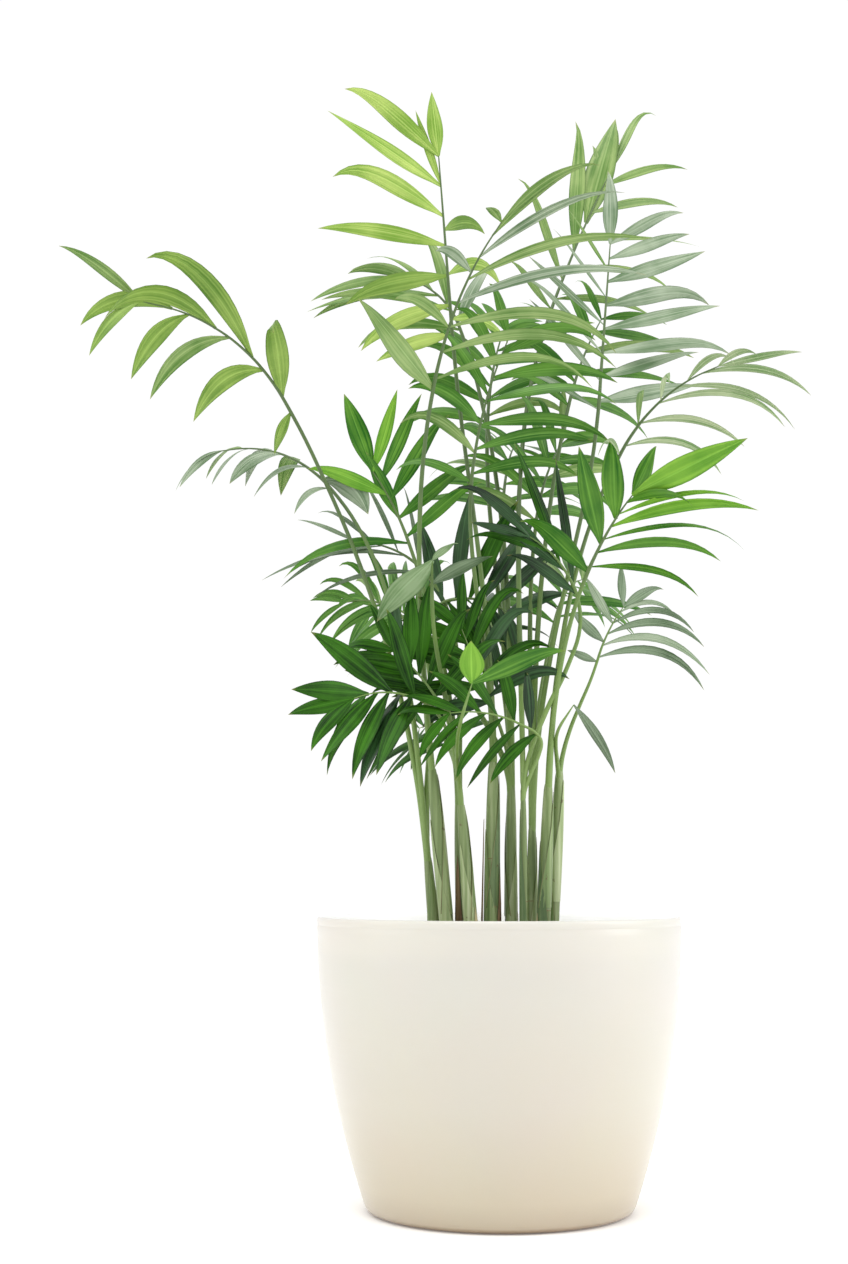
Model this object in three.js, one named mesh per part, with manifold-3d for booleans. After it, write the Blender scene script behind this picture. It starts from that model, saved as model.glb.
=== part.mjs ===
// A young parlour palm in its planter: a clump of slender canes, the long stalks that leave them,
// and one thin toothed blade for each feather frond. Millimetres, +Z up, the front towards -Y.
// The origin is the centre of the planter's flat underside.
import * as THREE from "three";
import { mergeVertices } from "three/addons/utils/BufferGeometryUtils.js";
import Module from "manifold-3d";

// Planter
const POT_HEIGHT = 197;
const POT_RIM_RADIUS = 125;
const POT_BELLY = 35; // how much narrower the wall would be at the floor than at the rim
const POT_FOOT_RADIUS = 84.5;
const POT_FOOT_ROUNDING = 6; // height over which the wall turns in to the flat underside
const POT_FOOT_KNEE = { out: 0.7, up: 0.35 }; // a point of that turn, as shares of its width and height
const POT_WALL = 3;
const POT_FLOOR = 4;
const POT_STEPS = 5;
const POT_SIDES = 28;
const SOIL_TOP = 175;

// Plant
const GAP = 0.35; // air left between neighbours that would touch
const CANE_DEPTH = 2; // how far below the soil's surface a cane's foot is drawn before it is cut
const CANE_SIDES = 8;
const CANE_STEPS = 1; // a cane is straight and its taper even, so it needs no rings in between
const STALK_SIDES = 5;
const STALK_STEPS = 5;
const STALK_FOOT_RADIUS = 2.1;
const STALK_END_RADIUS = 1.4;
const STALK_LEAVING = 0.4; // share of a stalk's reach that its curve is led on in its cane's line
const STALK_MEETING = 0.3; // and the share that leads it into its rib's line
const STALK_OVERLAP = 5; // how far a stalk runs into the blade that is one piece with it
const BLADE_THICKNESS = 1.2;
const LEAFLET_STEPS = 8;
const NOTCH_STEP = 2; // the step of a leaflet at which it parts from its neighbour
const STAGGER = 0.35; // how far the right leaflets start after the left ones, in spacings
const FULLNESS = 1.2; // how much longer the leaflets are between the two ends of a row
const FORWARD_BEND = 0.12; // how strongly a leaflet's outer part bends towards the rib's end
const SAG_AT_COLLAR = 1.15; // share of a row's droop that its leaflets have at each end of the rib
const SAG_AT_END = 0.8;
const BEND_POWER = 1.3; // how late along a leaflet its bend comes
const TOOTH_REACH = 1.6; // how much longer the teeth of a blade's cutting copy are
const SAME_POINT = 1e-3; // corners of a geometry that are nearer than this are one point

// Canes: foot [x, y] on the soil, top [x, y, z], radius at the foot and at the top.
const canes = {
  a: { foot: [-43, 4], top: [-49, 2, 240], radii: [4.5, 4.0] },
  b: { foot: [-34, -8], top: [-46, -10, 300], radii: [5.5, 4.5] },
  c: { foot: [-25, 10], top: [-27, 12, 280], radii: [4.5, 4.0] },
  d: { foot: [-18, -14], top: [-26, -16, 275], radii: [5.0, 4.0] },
  e: { foot: [-5, 0], top: [-3, 2, 305], radii: [5.8, 4.8] },
  f: { foot: [9, 12], top: [10, 15, 290], radii: [4.8, 4.0] },
  g: { foot: [17, -10], top: [17, -12, 280], radii: [3.2, 2.6] },
  h: { foot: [23, 4], top: [24, 5, 262], radii: [4.5, 3.6] },
  i: { foot: [30, -6], top: [35, -4, 290], radii: [5.2, 4.2] },
  j: { foot: [37, 10], top: [44, 12, 300], radii: [5.2, 4.0] },
};

// A row of leaflets on one side of a rib. Turn is degrees round the rib, from the width of the
// front view towards the front. Spread is degrees from the rib, at the collar and at the rib's
// end, and so are the two lengths. Droop is how strongly the outer part of a leaflet bends down.
const row = (count, turn, spread, endSpread, length, endLength, droop) => ({
  count,
  turn,
  spread,
  endSpread,
  length,
  endLength,
  droop,
});

// A frond: its cane and the height where its stalk leaves it, the collar where the blade begins,
// the rib's end, and how far the rib's middle is arched up. A long stalk is a node of its own.
const frond = (name, cane, fork, collar, end, arch, left, right, longStalk = false) => ({
  name,
  cane,
  fork,
  collar,
  end,
  arch,
  left,
  right,
  longStalk,
});

const fronds = [
  frond("far_left", "a", 225, [-146, -5, 552], [-247, -55, 618], 18,
    row(5, 10, 45, 36, 64, 58, 2.3), row(5, 15, 28, -4, 84, 56, 0.9), true),
  frond("low_left", "a", 235, [-118, 12, 500], [-200, 40, 534], 12,
    row(5, 60, 55, 20, 42, 36, 2.6), row(5, -60, 55, 15, 42, 38, 2.6), true),
  frond("top_left", "e", 290, [-31, 0, 610], [-41, -30, 732], 0,
    row(7, 15, 100, 50, 64, 75, 0.5), row(5, -52, 78, 60, 60, 52, 0.9), true),
  frond("right", "i", 270, [88, 0, 522], [153, -40, 576], 10,
    row(5, 40, 60, 20, 50, 44, 1.3), row(6, -15, 56, 4, 70, 74, 1.25), true),
  frond("top_back", "g", 270, [45, 70, 650], [95, 98, 771], 2,
    row(6, 15, 60, 12, 50, 36, 0.0), row(6, -15, 52, 38, 80, 76, 0.5), true),
  frond("top_right", "h", 255, [75, 20, 560], [88, 48, 694], 0,
    row(7, 25, 62, 42, 76, 48, 0.2), row(8, -15, 70, 48, 86, 68, 0.1), true),
  frond("front", "b", 290, [-45, -40, 560], [0, -110, 655], 12,
    row(4, 50, 58, 50, 70, 42, 0.9), row(8, -5, 66, 8, 118, 98, 0.8), true),
  frond("low_right", "j", 290, [70, 0, 374], [90, 6, 414], 2,
    row(4, 0, 80, 37, 24, 33, 0.0), row(6, 0, 62, 18, 92, 34, 1.4), true),
  frond("right_front", "i", 285, [60, -50, 430], [86, -95, 474], 3,
    row(4, -10, 69, 20, 66, 46, 0.1), row(7, 0, 66, 14, 80, 84, 0.6), true),
  frond("low_left_front", "d", 270, [-52, -35, 343], [-98, -68, 342], 5,
    row(7, 20, 66, 24, 66, 58, 0.5), row(4, 0, 56, 10, 66, 50, 0.0)),
  frond("back_left", "f", 280, [-24, 50, 628], [-68, 60, 672], 8,
    row(5, 0, 48, 20, 92, 70, 0.7), row(5, 0, 40, 10, 58, 42, 0.9), true),
  frond("left_upper", "c", 278, [-62, 10, 460], [-88, 10, 512], 2,
    row(4, 0, 60, 10, 66, 52, 0.1), row(5, 0, 72, 58, 62, 60, 0.1)),
  frond("left_mid", "c", 275, [-50, 20, 440], [-100, 28, 464], 6,
    row(4, 0, 34, 16, 88, 66, 0.8), row(4, 0, 44, 30, 54, 46, 0.3)),
  frond("left_behind", "a", 238, [-66, 40, 410], [-108, 55, 424], 6,
    row(6, 0, 40, 10, 50, 36, 1.3), row(6, 0, 50, 25, 44, 32, 0.8)),
  frond("left_front", "c", 270, [-46, -60, 410], [-46, -85, 432], 2,
    row(1, 10, 136, 136, 66, 66, 0.5), row(2, 0, 60, 30, 40, 30, 0.6)),
  frond("young", "d", 272, [-25, -80, 334], [-20, -88, 350], 0,
    row(1, 0, 16, 16, 30, 30, 0.0), row(1, 0, 66, 66, 62, 62, 0.1)),
  frond("low_right_leaf", "j", 285, [44, -14, 330], [52, -18, 342], 0,
    null, row(1, 0, 116, 116, 60, 60, 0.8)),
  frond("low_base", "g", 275, [26, -20, 322], [-34, -46, 334], 6,
    row(6, 0, 70, 30, 48, 40, 0.7), row(6, 0, 60, 20, 44, 38, 0.4)),
  frond("centre", "e", 300, [-18, -10, 500], [8, -25, 600], 5,
    row(6, 10, 60, 40, 58, 42, 0.9), row(7, -10, 72, 45, 84, 64, 0.6), true),
  frond("centre_right", "g", 278, [55, -15, 420], [22, -28, 458], 5,
    row(4, 0, 30, 12, 62, 44, 0.1), row(4, 0, 20, 12, 84, 60, 0.3)),
  frond("upper_mid", "h", 258, [55, 40, 568], [82, 62, 640], 3,
    row(5, 10, 60, 40, 58, 42, 0.7), row(5, -25, 66, 45, 84, 60, 0.5), true),
  frond("low_mid_front", "d", 274, [-42, -22, 345], [-72, -32, 378], 2,
    row(5, 0, 44, 25, 52, 38, 0.2), row(6, 0, 72, 35, 60, 42, 0.0)),
  frond("low_centre", "f", 285, [-5, -5, 345], [-25, -15, 395], 0,
    row(6, 0, 66, 25, 58, 42, 0.5), row(6, 0, 76, 30, 58, 42, 0.7)),
  frond("centre_dark", "f", 280, [-38, 15, 418], [8, 20, 412], 6,
    row(6, 0, 80, 65, 68, 48, 0.0), row(6, 0, 70, 40, 62, 44, 0.9)),
  frond("mid_back", "h", 260, [30, 30, 480], [52, 45, 545], 4,
    row(6, 20, 60, 35, 60, 44, 0.7), row(6, -25, 60, 35, 62, 44, 0.7), true),
  frond("up_back", "f", 288, [-4, 60, 560], [10, 90, 640], 6,
    row(7, 0, 65, 35, 66, 48, 0.6), row(7, 0, 65, 35, 66, 48, 0.7), true),
  frond("rear_high", "f", 289, [8, 85, 500], [20, 135, 560], 8,
    row(6, 0, 65, 35, 66, 48, 0.7), row(6, 0, 65, 35, 66, 48, 0.7), true),
  frond("rear_left", "c", 276, [-50, 70, 400], [-90, 120, 430], 8,
    row(6, 0, 65, 35, 62, 46, 0.8), row(6, 0, 65, 35, 62, 46, 0.8), true),
  frond("rear_right", "h", 261, [45, 65, 410], [70, 115, 450], 8,
    row(6, 0, 65, 35, 62, 46, 0.8), row(6, 0, 65, 35, 62, 46, 0.8), true),
  frond("rear_middle", "f", 285, [0, 60, 400], [-10, 120, 430], 8,
    row(6, 0, 65, 35, 60, 44, 0.8), row(6, 0, 65, 35, 60, 44, 0.8)),
  frond("rear_low", "c", 272, [-35, 55, 320], [-55, 105, 335], 6,
    row(5, 0, 65, 35, 54, 40, 0.8), row(5, 0, 65, 35, 54, 40, 0.8)),
];

// Leaflets that grew otherwise than the rest of their row, by frond, side and number from the
// collar: turn, spread, length and droop.
const oddLeaflets = {
  "far_left 1 0": [15, 30, 70, 0.9],
  "far_left 1 1": [15, 26, 106, 1.2],
  "far_left 1 2": [15, 14, 100, 1.6],
  "far_left 1 3": [15, 6, 76, 1.5],
  "far_left 1 4": [15, 34, 56, 0.2],
  "far_left -1 0": [10, 120, 34, 1.6],
  "top_left -1 6": [15, 52, 75, 0.2],
  "top_left -1 5": [15, 55, 90, 0.2],
  "top_left -1 4": [15, 64, 86, 0.5],
  "top_left 1 4": [0, -4, 46, 0.0],
  "top_left 1 3": [0, -16, 56, 0.0],
  "low_left -1 0": [60, 70, 46, 1.8],
  "low_left -1 1": [60, 46, 52, 2.4],
  "low_left 1 0": [0, 125, 46, 2.6],
  "low_left 1 1": [-60, 42, 54, 2.8],
  "top_back -1 1": [15, 42, 88, 0.0],
  "top_back -1 2": [15, 19, 112, 0.0],
  "top_back -1 3": [15, 7, 98, 0.0],
  "top_back 1 5": [0, -2, 76, 0.0],
  "top_right -1 6": [0, 2, 66, 0.0],
  "front -1 0": [30, 53, 88, 0.0],
  "left_upper -1 0": [0, 62, 96, 0.9],
  "left_upper -1 1": [0, 36, 72, 0.1],
  "left_upper -1 2": [0, 20, 42, 0.0],
  "left_upper -1 3": [0, 8, 60, 0.0],
  "low_right 1 5": [0, 18, 34, 0.1],
  "young 1 0": [0, 47, 66, 0.0],
  "right_front 1 3": [0, 34, 112, 0.62],
  "right_front 1 4": [0, 26, 100, 0.6],
  "right_front 1 5": [0, 24, 56, 0.9],
  "right_front 1 6": [0, 20, 98, 0.05],
  "right_front -1 1": [-10, 40, 68, 0.0],
};

const up = new THREE.Vector3(0, 0, 1);
const towardsFront = new THREE.Vector3(0, -1, 0);
const radians = THREE.MathUtils.degToRad;
const mix = THREE.MathUtils.lerp;

const wasm = await Module();
wasm.setup();

// A closed three.js geometry as a solid that can be cut and joined.
function solidOf(geometry) {
  const bare = new THREE.BufferGeometry();
  bare.setAttribute("position", geometry.getAttribute("position").clone());
  if (geometry.index) bare.setIndex(geometry.index);
  const merged = mergeVertices(bare, SAME_POINT);
  return new wasm.Manifold(
    new wasm.Mesh({
      numProp: 3,
      vertProperties: new Float32Array(merged.attributes.position.array),
      triVerts: new Uint32Array(merged.index.array),
    }),
  );
}

function geometryOf(points, faces) {
  const geometry = new THREE.BufferGeometry();
  geometry.setAttribute(
    "position",
    new THREE.Float32BufferAttribute(points.flatMap((p) => p.toArray()), 3),
  );
  geometry.setIndex(faces.flat());
  return geometry;
}

function meshOf(name, solid, material) {
  const { vertProperties, triVerts, numProp } = solid.getMesh();
  const points = [];
  for (let i = 0; i < vertProperties.length; i += numProp) {
    points.push(new THREE.Vector3().fromArray(vertProperties, i));
  }
  const faces = [];
  for (let i = 0; i < triVerts.length; i += 3) {
    faces.push([triVerts[i], triVerts[i + 1], triVerts[i + 2]]);
  }
  const mesh = new THREE.Mesh(geometryOf(points, faces), material);
  mesh.geometry.computeVertexNormals();
  mesh.name = name;
  return mesh;
}

// A profile turned about the upright axis.
function turned(profile) {
  return new THREE.LatheGeometry(profile, POT_SIDES).rotateX(Math.PI / 2);
}

// The planter's outer radius: a parabola, nearly upright at the rim.
function potRadius(height) {
  const drop = 1 - height / POT_HEIGHT;
  return POT_RIM_RADIUS - POT_BELLY * drop * drop;
}

// Outline points of the wall from low to high, moved in by so much.
function wallProfile(low, high, inset) {
  const points = [];
  for (let i = 0; i <= POT_STEPS; i += 1) {
    const height = mix(low, high, i / POT_STEPS);
    points.push(new THREE.Vector2(potRadius(height) - inset, height));
  }
  return points;
}

function potGeometry() {
  const outside = wallProfile(POT_FOOT_ROUNDING, POT_HEIGHT, 0);
  const inside = wallProfile(POT_FLOOR + POT_FOOT_ROUNDING, POT_HEIGHT, POT_WALL).reverse();
  return turned([
    new THREE.Vector2(0, 0),
    new THREE.Vector2(POT_FOOT_RADIUS, 0),
    new THREE.Vector2(
      mix(POT_FOOT_RADIUS, outside[0].x, POT_FOOT_KNEE.out),
      POT_FOOT_ROUNDING * POT_FOOT_KNEE.up,
    ),
    ...outside,
    ...inside,
    new THREE.Vector2(POT_FOOT_RADIUS - POT_WALL, POT_FLOOR),
    new THREE.Vector2(0, POT_FLOOR),
  ]);
}

function soilGeometry(top) {
  const low = POT_FLOOR + POT_FOOT_ROUNDING;
  return turned([
    new THREE.Vector2(0, POT_FLOOR + GAP),
    new THREE.Vector2(POT_FOOT_RADIUS - POT_WALL - GAP, POT_FLOOR + GAP),
    ...wallProfile(low, top, POT_WALL + GAP),
    new THREE.Vector2(0, top),
  ]);
}

// A round limb along a curve, tapered from its foot to its end, with flat closed ends.
function limbGeometry(curve, footRadius, endRadius, sides, steps) {
  const { normals, binormals } = curve.computeFrenetFrames(steps, false);
  const points = [];
  for (let i = 0; i <= steps; i += 1) {
    const centre = curve.getPointAt(i / steps);
    const radius = mix(footRadius, endRadius, i / steps);
    for (let j = 0; j < sides; j += 1) {
      const angle = (2 * Math.PI * j) / sides;
      points.push(
        centre
          .clone()
          .addScaledVector(normals[i], radius * Math.cos(angle))
          .addScaledVector(binormals[i], radius * Math.sin(angle)),
      );
    }
  }
  const footCentre = points.push(curve.getPointAt(0)) - 1;
  const endCentre = points.push(curve.getPointAt(1)) - 1;
  const faces = [];
  for (let j = 0; j < sides; j += 1) {
    const next = (j + 1) % sides;
    for (let i = 0; i < steps; i += 1) {
      const near = i * sides;
      const far = near + sides;
      faces.push([near + j, near + next, far + next], [near + j, far + next, far + j]);
    }
    faces.push([footCentre, next, j]);
    faces.push([endCentre, steps * sides + j, steps * sides + next]);
  }
  return geometryOf(points, faces);
}

function caneCurve({ foot, top }) {
  return new THREE.LineCurve3(
    new THREE.Vector3(foot[0], foot[1], SOIL_TOP - CANE_DEPTH),
    new THREE.Vector3(...top),
  );
}

// The rib: from the collar to its end, its middle arched up.
function ribCurve({ collar, end, arch }) {
  const from = new THREE.Vector3(...collar);
  const to = new THREE.Vector3(...end);
  const along = to.clone().sub(from).normalize();
  const rise = up.clone().addScaledVector(along, -along.z).normalize();
  const middle = from.clone().lerp(to, 0.5).addScaledVector(rise, 2 * arch);
  return new THREE.QuadraticBezierCurve3(from, middle, to);
}

// The stalk: it leaves the cane in the cane's direction and meets the rib in the rib's direction.
function stalkCurve(item, rib, overlap) {
  const cane = caneCurve(canes[item.cane]);
  const height = (item.fork - cane.v1.z) / (cane.v2.z - cane.v1.z);
  const from = cane.getPoint(height);
  const leaving = cane.getTangent(0);
  const meeting = rib.getTangent(0);
  const to = rib.v0.clone().addScaledVector(meeting, overlap);
  const reach = from.distanceTo(to);
  return new THREE.CubicBezierCurve3(
    from,
    from.clone().addScaledVector(leaving, STALK_LEAVING * reach),
    to.clone().addScaledVector(meeting, -STALK_MEETING * reach),
    to,
  );
}

// Turn, spread, length and droop of the leaflet at one place of a row.
function usualLeaflet({ turn, spread, endSpread, length, endLength, droop }, place) {
  const fullness = 1 + FULLNESS * place * (1 - place);
  return [
    turn,
    mix(spread, endSpread, place),
    mix(length, endLength, place) * fullness,
    droop * mix(SAG_AT_COLLAR, SAG_AT_END, place),
  ];
}

// The leaflets of one row: each has its place on the rib and the points that it runs through.
function leafletsOf(name, rib, leaves, side) {
  const { count } = leaves;
  return Array.from({ length: count }, (_, i) => {
    const shift = side > 0 && i < count - 1 ? STAGGER : 0;
    const place = count === 1 ? 1 : (i + shift) / (count - 1);
    const odd = oddLeaflets[`${name} ${side} ${i}`];
    const [turn, spread, length, droop] = odd ?? usualLeaflet(leaves, place);
    const along = rib.getTangent(place);
    const across = along.clone().cross(towardsFront).normalize();
    const face = across.clone().cross(along);
    const outward = across
      .multiplyScalar(side * Math.cos(radians(turn)))
      .addScaledVector(face, Math.sin(radians(turn)));
    const start = along.clone().multiplyScalar(Math.cos(radians(spread)));
    start.addScaledVector(outward, Math.sin(radians(spread)));
    const points = [rib.getPoint(place)];
    for (let k = 0; k < LEAFLET_STEPS; k += 1) {
      const bend = ((k + 0.5) / LEAFLET_STEPS) ** BEND_POWER;
      const heading = start.clone().addScaledVector(up, -droop * bend);
      heading.addScaledVector(along, FORWARD_BEND * bend).normalize();
      points.push(points[k].clone().addScaledVector(heading, length / LEAFLET_STEPS));
    }
    return { place, points };
  });
}

// One tooth of a blade: its foot up to the notches beside it, and from there one triangle to the
// tip. A tooth that bends back over its neighbour stays clear of itself this way.
function toothTriangles(before, root, after, tip) {
  const edge = [...before, ...root, ...after];
  const last = edge.length - 1;
  const triangles = [];
  if (before.length + after.length === 0) {
    for (let k = 0; k < last; k += 1) triangles.push([edge[k], tip, edge[k + 1]]);
    return triangles;
  }
  triangles.push([edge[0], tip, edge[last]]);
  for (let k = 0; k + 1 < edge.length; k += 1) {
    const from = before.length ? edge[0] : edge[last];
    if (edge[k] !== from && edge[k + 1] !== from) triangles.push([edge[k], from, edge[k + 1]]);
  }
  return triangles;
}

// The blade as a thin closed sheet with a tooth for each leaflet. With reach, it is a copy that
// is a little larger all round, to cut its neighbours with.
function bladeGeometry(item, rib, reach) {
  const rows = [
    [item.left, -1],
    [item.right, 1],
  ].filter(([leaves]) => leaves);
  const sides = rows.map(([leaves, side]) => {
    const leaflets = leafletsOf(item.name, rib, leaves, side);
    const borders = leaflets.map((l, i) => {
      const next = leaflets[i + 1];
      return next ? (l.place + next.place) / 2 : 1;
    });
    return { side, leaflets, borders: [0, ...borders] };
  });
  const places = [...new Set(sides.flatMap((s) => s.borders))].sort((a, b) => a - b);
  const points = places.map((u) => rib.getPoint(u));
  const faces = [];
  for (const { side, leaflets, borders } of sides) {
    const notches = leaflets.slice(1).map((next, i) => {
      const notch = leaflets[i].points[NOTCH_STEP].clone().lerp(next.points[NOTCH_STEP], 0.5);
      const root = rib.getPoint(borders[i + 1]);
      const outward = notch.clone().sub(root).normalize();
      return points.push(notch.addScaledVector(outward, reach ? TOOTH_REACH : 0)) - 1;
    });
    leaflets.forEach(({ points: run }, i) => {
      const point = run[LEAFLET_STEPS].clone();
      const outward = point.clone().sub(run[LEAFLET_STEPS - 1]).normalize();
      const tip = points.push(point.addScaledVector(outward, reach ? TOOTH_REACH : 0)) - 1;
      const root = places
        .map((u, index) => ({ u, index }))
        .filter(({ u }) => u >= borders[i] && u <= borders[i + 1])
        .map(({ index }) => index);
      const before = notches.slice(i - 1, i > 0 ? i : 0);
      const after = notches.slice(i, i + 1);
      for (const corners of toothTriangles(before, root, after, tip)) {
        faces.push(side > 0 ? corners : corners.reverse());
      }
    });
  }
  return thickened(points, faces, BLADE_THICKNESS / 2 + reach);
}

// A sheet of triangles as a closed body, half of its thickness to each side.
function thickened(points, faces, half) {
  const sheet = geometryOf(points, faces);
  sheet.computeVertexNormals();
  const normals = sheet.getAttribute("normal");
  const shifted = (sign) =>
    points.map((p, i) =>
      p.clone().addScaledVector(new THREE.Vector3().fromBufferAttribute(normals, i), sign * half),
    );
  const below = points.length;
  const edges = new Set(faces.flatMap(([a, b, c]) => [`${a} ${b}`, `${b} ${c}`, `${c} ${a}`]));
  const walls = [...edges]
    .map((edge) => edge.split(" ").map(Number))
    .filter(([a, b]) => !edges.has(`${b} ${a}`))
    .flatMap(([a, b]) => [
      [b, a, a + below],
      [b, a + below, b + below],
    ]);
  const undersides = faces.map(([a, b, c]) => [a + below, c + below, b + below]);
  return geometryOf([...shifted(1), ...shifted(-1)], [...faces, ...undersides, ...walls]);
}

const palm = new THREE.Group();
const cutters = []; // a slightly larger copy of each piece in place, for its neighbours' cuts

const finish = (color, roughness) => new THREE.MeshStandardMaterial({ color, roughness, metalness: 0 });
const potFinish = finish(0xe9e2d2, 0.45);
const soilFinish = finish(0x3a2a1e, 0.95);
const caneFinish = finish(0x7f9a62, 0.5);
const leafFinish = finish(0x3f7d2c, 0.45);

function boxesMeet(a, b) {
  return [0, 1, 2].every((k) => a.min[k] < b.max[k] && b.min[k] < a.max[k]);
}

// Puts a piece in place, cut clear of what is there already and kept in one part.
function place(name, solid, cutter, material) {
  let cut = solid;
  for (const other of cutters) {
    if (boxesMeet(cut.boundingBox(), other.boundingBox())) cut = cut.subtract(other);
  }
  const [largest] = cut.decompose().sort((a, b) => b.volume() - a.volume());
  cutters.push(cutter.add(solid));
  palm.add(meshOf(name, largest, material));
}

palm.add(meshOf("pot", solidOf(potGeometry()), potFinish));
place("soil", solidOf(soilGeometry(SOIL_TOP)), solidOf(soilGeometry(SOIL_TOP + GAP)), soilFinish);

for (const [letter, cane] of Object.entries(canes)) {
  const [footRadius, topRadius] = cane.radii;
  const body = (more) =>
    solidOf(
      limbGeometry(caneCurve(cane), footRadius + more, topRadius + more, CANE_SIDES, CANE_STEPS),
    );
  place(`cane_${letter}`, body(0), body(GAP), caneFinish);
}

const stalkSolid = (item, rib, overlap, more) =>
  solidOf(
    limbGeometry(
      stalkCurve(item, rib, overlap),
      STALK_FOOT_RADIUS + more,
      STALK_END_RADIUS + more,
      STALK_SIDES,
      STALK_STEPS,
    ),
  );

for (const item of fronds.filter((f) => f.longStalk)) {
  const rib = ribCurve(item);
  place(`stalk_${item.name}`, stalkSolid(item, rib, 0, 0), stalkSolid(item, rib, 0, GAP), caneFinish);
}

for (const item of fronds) {
  const rib = ribCurve(item);
  const blade = (reach) => solidOf(bladeGeometry(item, rib, reach));
  const whole = (reach) =>
    item.longStalk ? blade(reach) : blade(reach).add(stalkSolid(item, rib, STALK_OVERLAP, reach));
  place(`frond_${item.name}`, whole(0), whole(GAP), leafFinish);
}

export default palm;
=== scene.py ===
import math
import random

import bpy
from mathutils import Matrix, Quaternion, Vector


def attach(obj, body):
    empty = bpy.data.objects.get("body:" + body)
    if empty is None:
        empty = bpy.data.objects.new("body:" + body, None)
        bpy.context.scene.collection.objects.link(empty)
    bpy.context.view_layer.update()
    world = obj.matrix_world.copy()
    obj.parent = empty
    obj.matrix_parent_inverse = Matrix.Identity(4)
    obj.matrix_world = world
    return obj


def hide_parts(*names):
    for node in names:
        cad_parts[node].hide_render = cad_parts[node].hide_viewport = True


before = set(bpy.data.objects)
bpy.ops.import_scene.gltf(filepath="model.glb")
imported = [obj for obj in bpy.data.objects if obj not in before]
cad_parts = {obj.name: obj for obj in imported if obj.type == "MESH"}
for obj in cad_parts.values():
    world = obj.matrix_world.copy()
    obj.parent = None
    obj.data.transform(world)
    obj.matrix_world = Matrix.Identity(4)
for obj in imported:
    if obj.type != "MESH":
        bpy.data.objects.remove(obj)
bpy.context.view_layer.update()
bpy.ops.object.select_all(action="DESELECT")


# Camera: a little above the planter's rim and looking slightly up, as a person who sits on the
# floor in front of the plant sees it. The lens is a short portrait one.
CAMERA_PLACE = (-0.0514, -1.3213, 0.2283)
CAMERA_TILT = math.radians(97.19)
CAMERA_LENS = 53.91

bpy.ops.object.camera_add(location=CAMERA_PLACE, rotation=(CAMERA_TILT, 0, 0))
camera = bpy.context.object
camera.data.sensor_width = 36
camera.data.lens = CAMERA_LENS
camera.data.clip_start = 0.05
bpy.context.scene.camera = camera


# Studio: a pale floor in a white room, with a softbox on each side and one overhead, all turned to
# the plant. Colours are shown as they are, so the room is plain white behind the plant.
PLANT_MIDDLE = (0, 0, 0.4)


def surface(name, roughness):
    """A material with its principled shader ready to be joined to."""
    material = bpy.data.materials.new(name)
    material.use_nodes = True
    shader = material.node_tree.nodes["Principled BSDF"]
    shader.inputs["Roughness"].default_value = roughness
    return material, material.node_tree.nodes, material.node_tree.links, shader


def shade(red, green, blue):
    """A screen colour, 0 to 255, as the light that a shader works with."""
    return tuple(
        value / 12.92 if value <= 0.04045 else ((value + 0.055) / 1.055) ** 2.4
        for value in (red / 255, green / 255, blue / 255)
    ) + (1.0,)


def cloud(nodes, links, scale, detail, place=None):
    """A cloudy pattern over the places that it is given."""
    pattern = nodes.new("ShaderNodeTexNoise")
    pattern.inputs["Scale"].default_value = scale
    pattern.inputs["Detail"].default_value = detail
    if place is not None:
        links.new(place, pattern.inputs["Vector"])
    return pattern


def toned(nodes, links, source, *stops):
    """Screen colours over a value, each stop as (where, colour), from the lowest to the highest."""
    ramp = nodes.new("ShaderNodeValToRGB")
    colours = ramp.color_ramp.elements
    colours[0].position = stops[0][0]
    colours[1].position = stops[-1][0]
    for where, _ in stops[1:-1]:
        colours.new(where)
    for colour, (_, tone) in zip(colours, stops):
        colour.color = shade(*tone)
    links.new(source, ramp.inputs["Fac"])
    return ramp


def softbox(name, place, size, watts):
    """A softbox that faces the middle of the plant."""
    aim = (Vector(PLANT_MIDDLE) - Vector(place)).to_track_quat("-Z", "Y")
    bpy.ops.object.light_add(type="AREA", location=place, rotation=aim.to_euler())
    light = bpy.context.object
    light.name = name
    light.data.shape = "RECTANGLE"
    light.data.size, light.data.size_y = size
    light.data.energy = watts


room = bpy.data.worlds.new("white_room")
room.use_nodes = True
room.node_tree.nodes["Background"].inputs["Color"].default_value = (1, 1, 1, 1)
room.node_tree.nodes["Background"].inputs["Strength"].default_value = 1.02
bpy.context.scene.world = room
bpy.context.scene.view_settings.view_transform = "Standard"

softbox("softbox_left", (-1.7, -0.5, 0.9), (0.9, 1.3), 4)
softbox("softbox_right", (1.7, -0.4, 0.9), (0.9, 1.3), 11)
softbox("softbox_top", (-0.3, -0.7, 2.1), (1.2, 1.2), 16)

bpy.ops.mesh.primitive_plane_add(size=14)
floor = bpy.context.object
floor.name = "floor"
floor_paper, nodes, links, shader = surface("floor_paper", 0.9)
fibres = cloud(nodes, links, 40, 2)
paper_tones = toned(nodes, links, fibres.outputs["Fac"], (0, (253, 253, 252)), (1, (255, 255, 255)))
links.new(paper_tones.outputs["Color"], shader.inputs["Base Color"])
shader.inputs["Emission Color"].default_value = (1, 1, 1, 1)
shader.inputs["Emission Strength"].default_value = 0.10
floor.data.materials.append(floor_paper)


# Planter: one thin-walled pot moulded in warm ivory plastic, satin outside, with a rounded lip, a
# wall that hangs down from it like a bell and a flat underside with a shallow sunk panel.
POT_HEIGHT = 0.197
POT_RIM = 0.125
POT_BELLY = 0.035
POT_WALL = 0.003
POT_FLOOR = 0.004
POT_SIDES = 144
BELL_RINGS = 20
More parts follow.
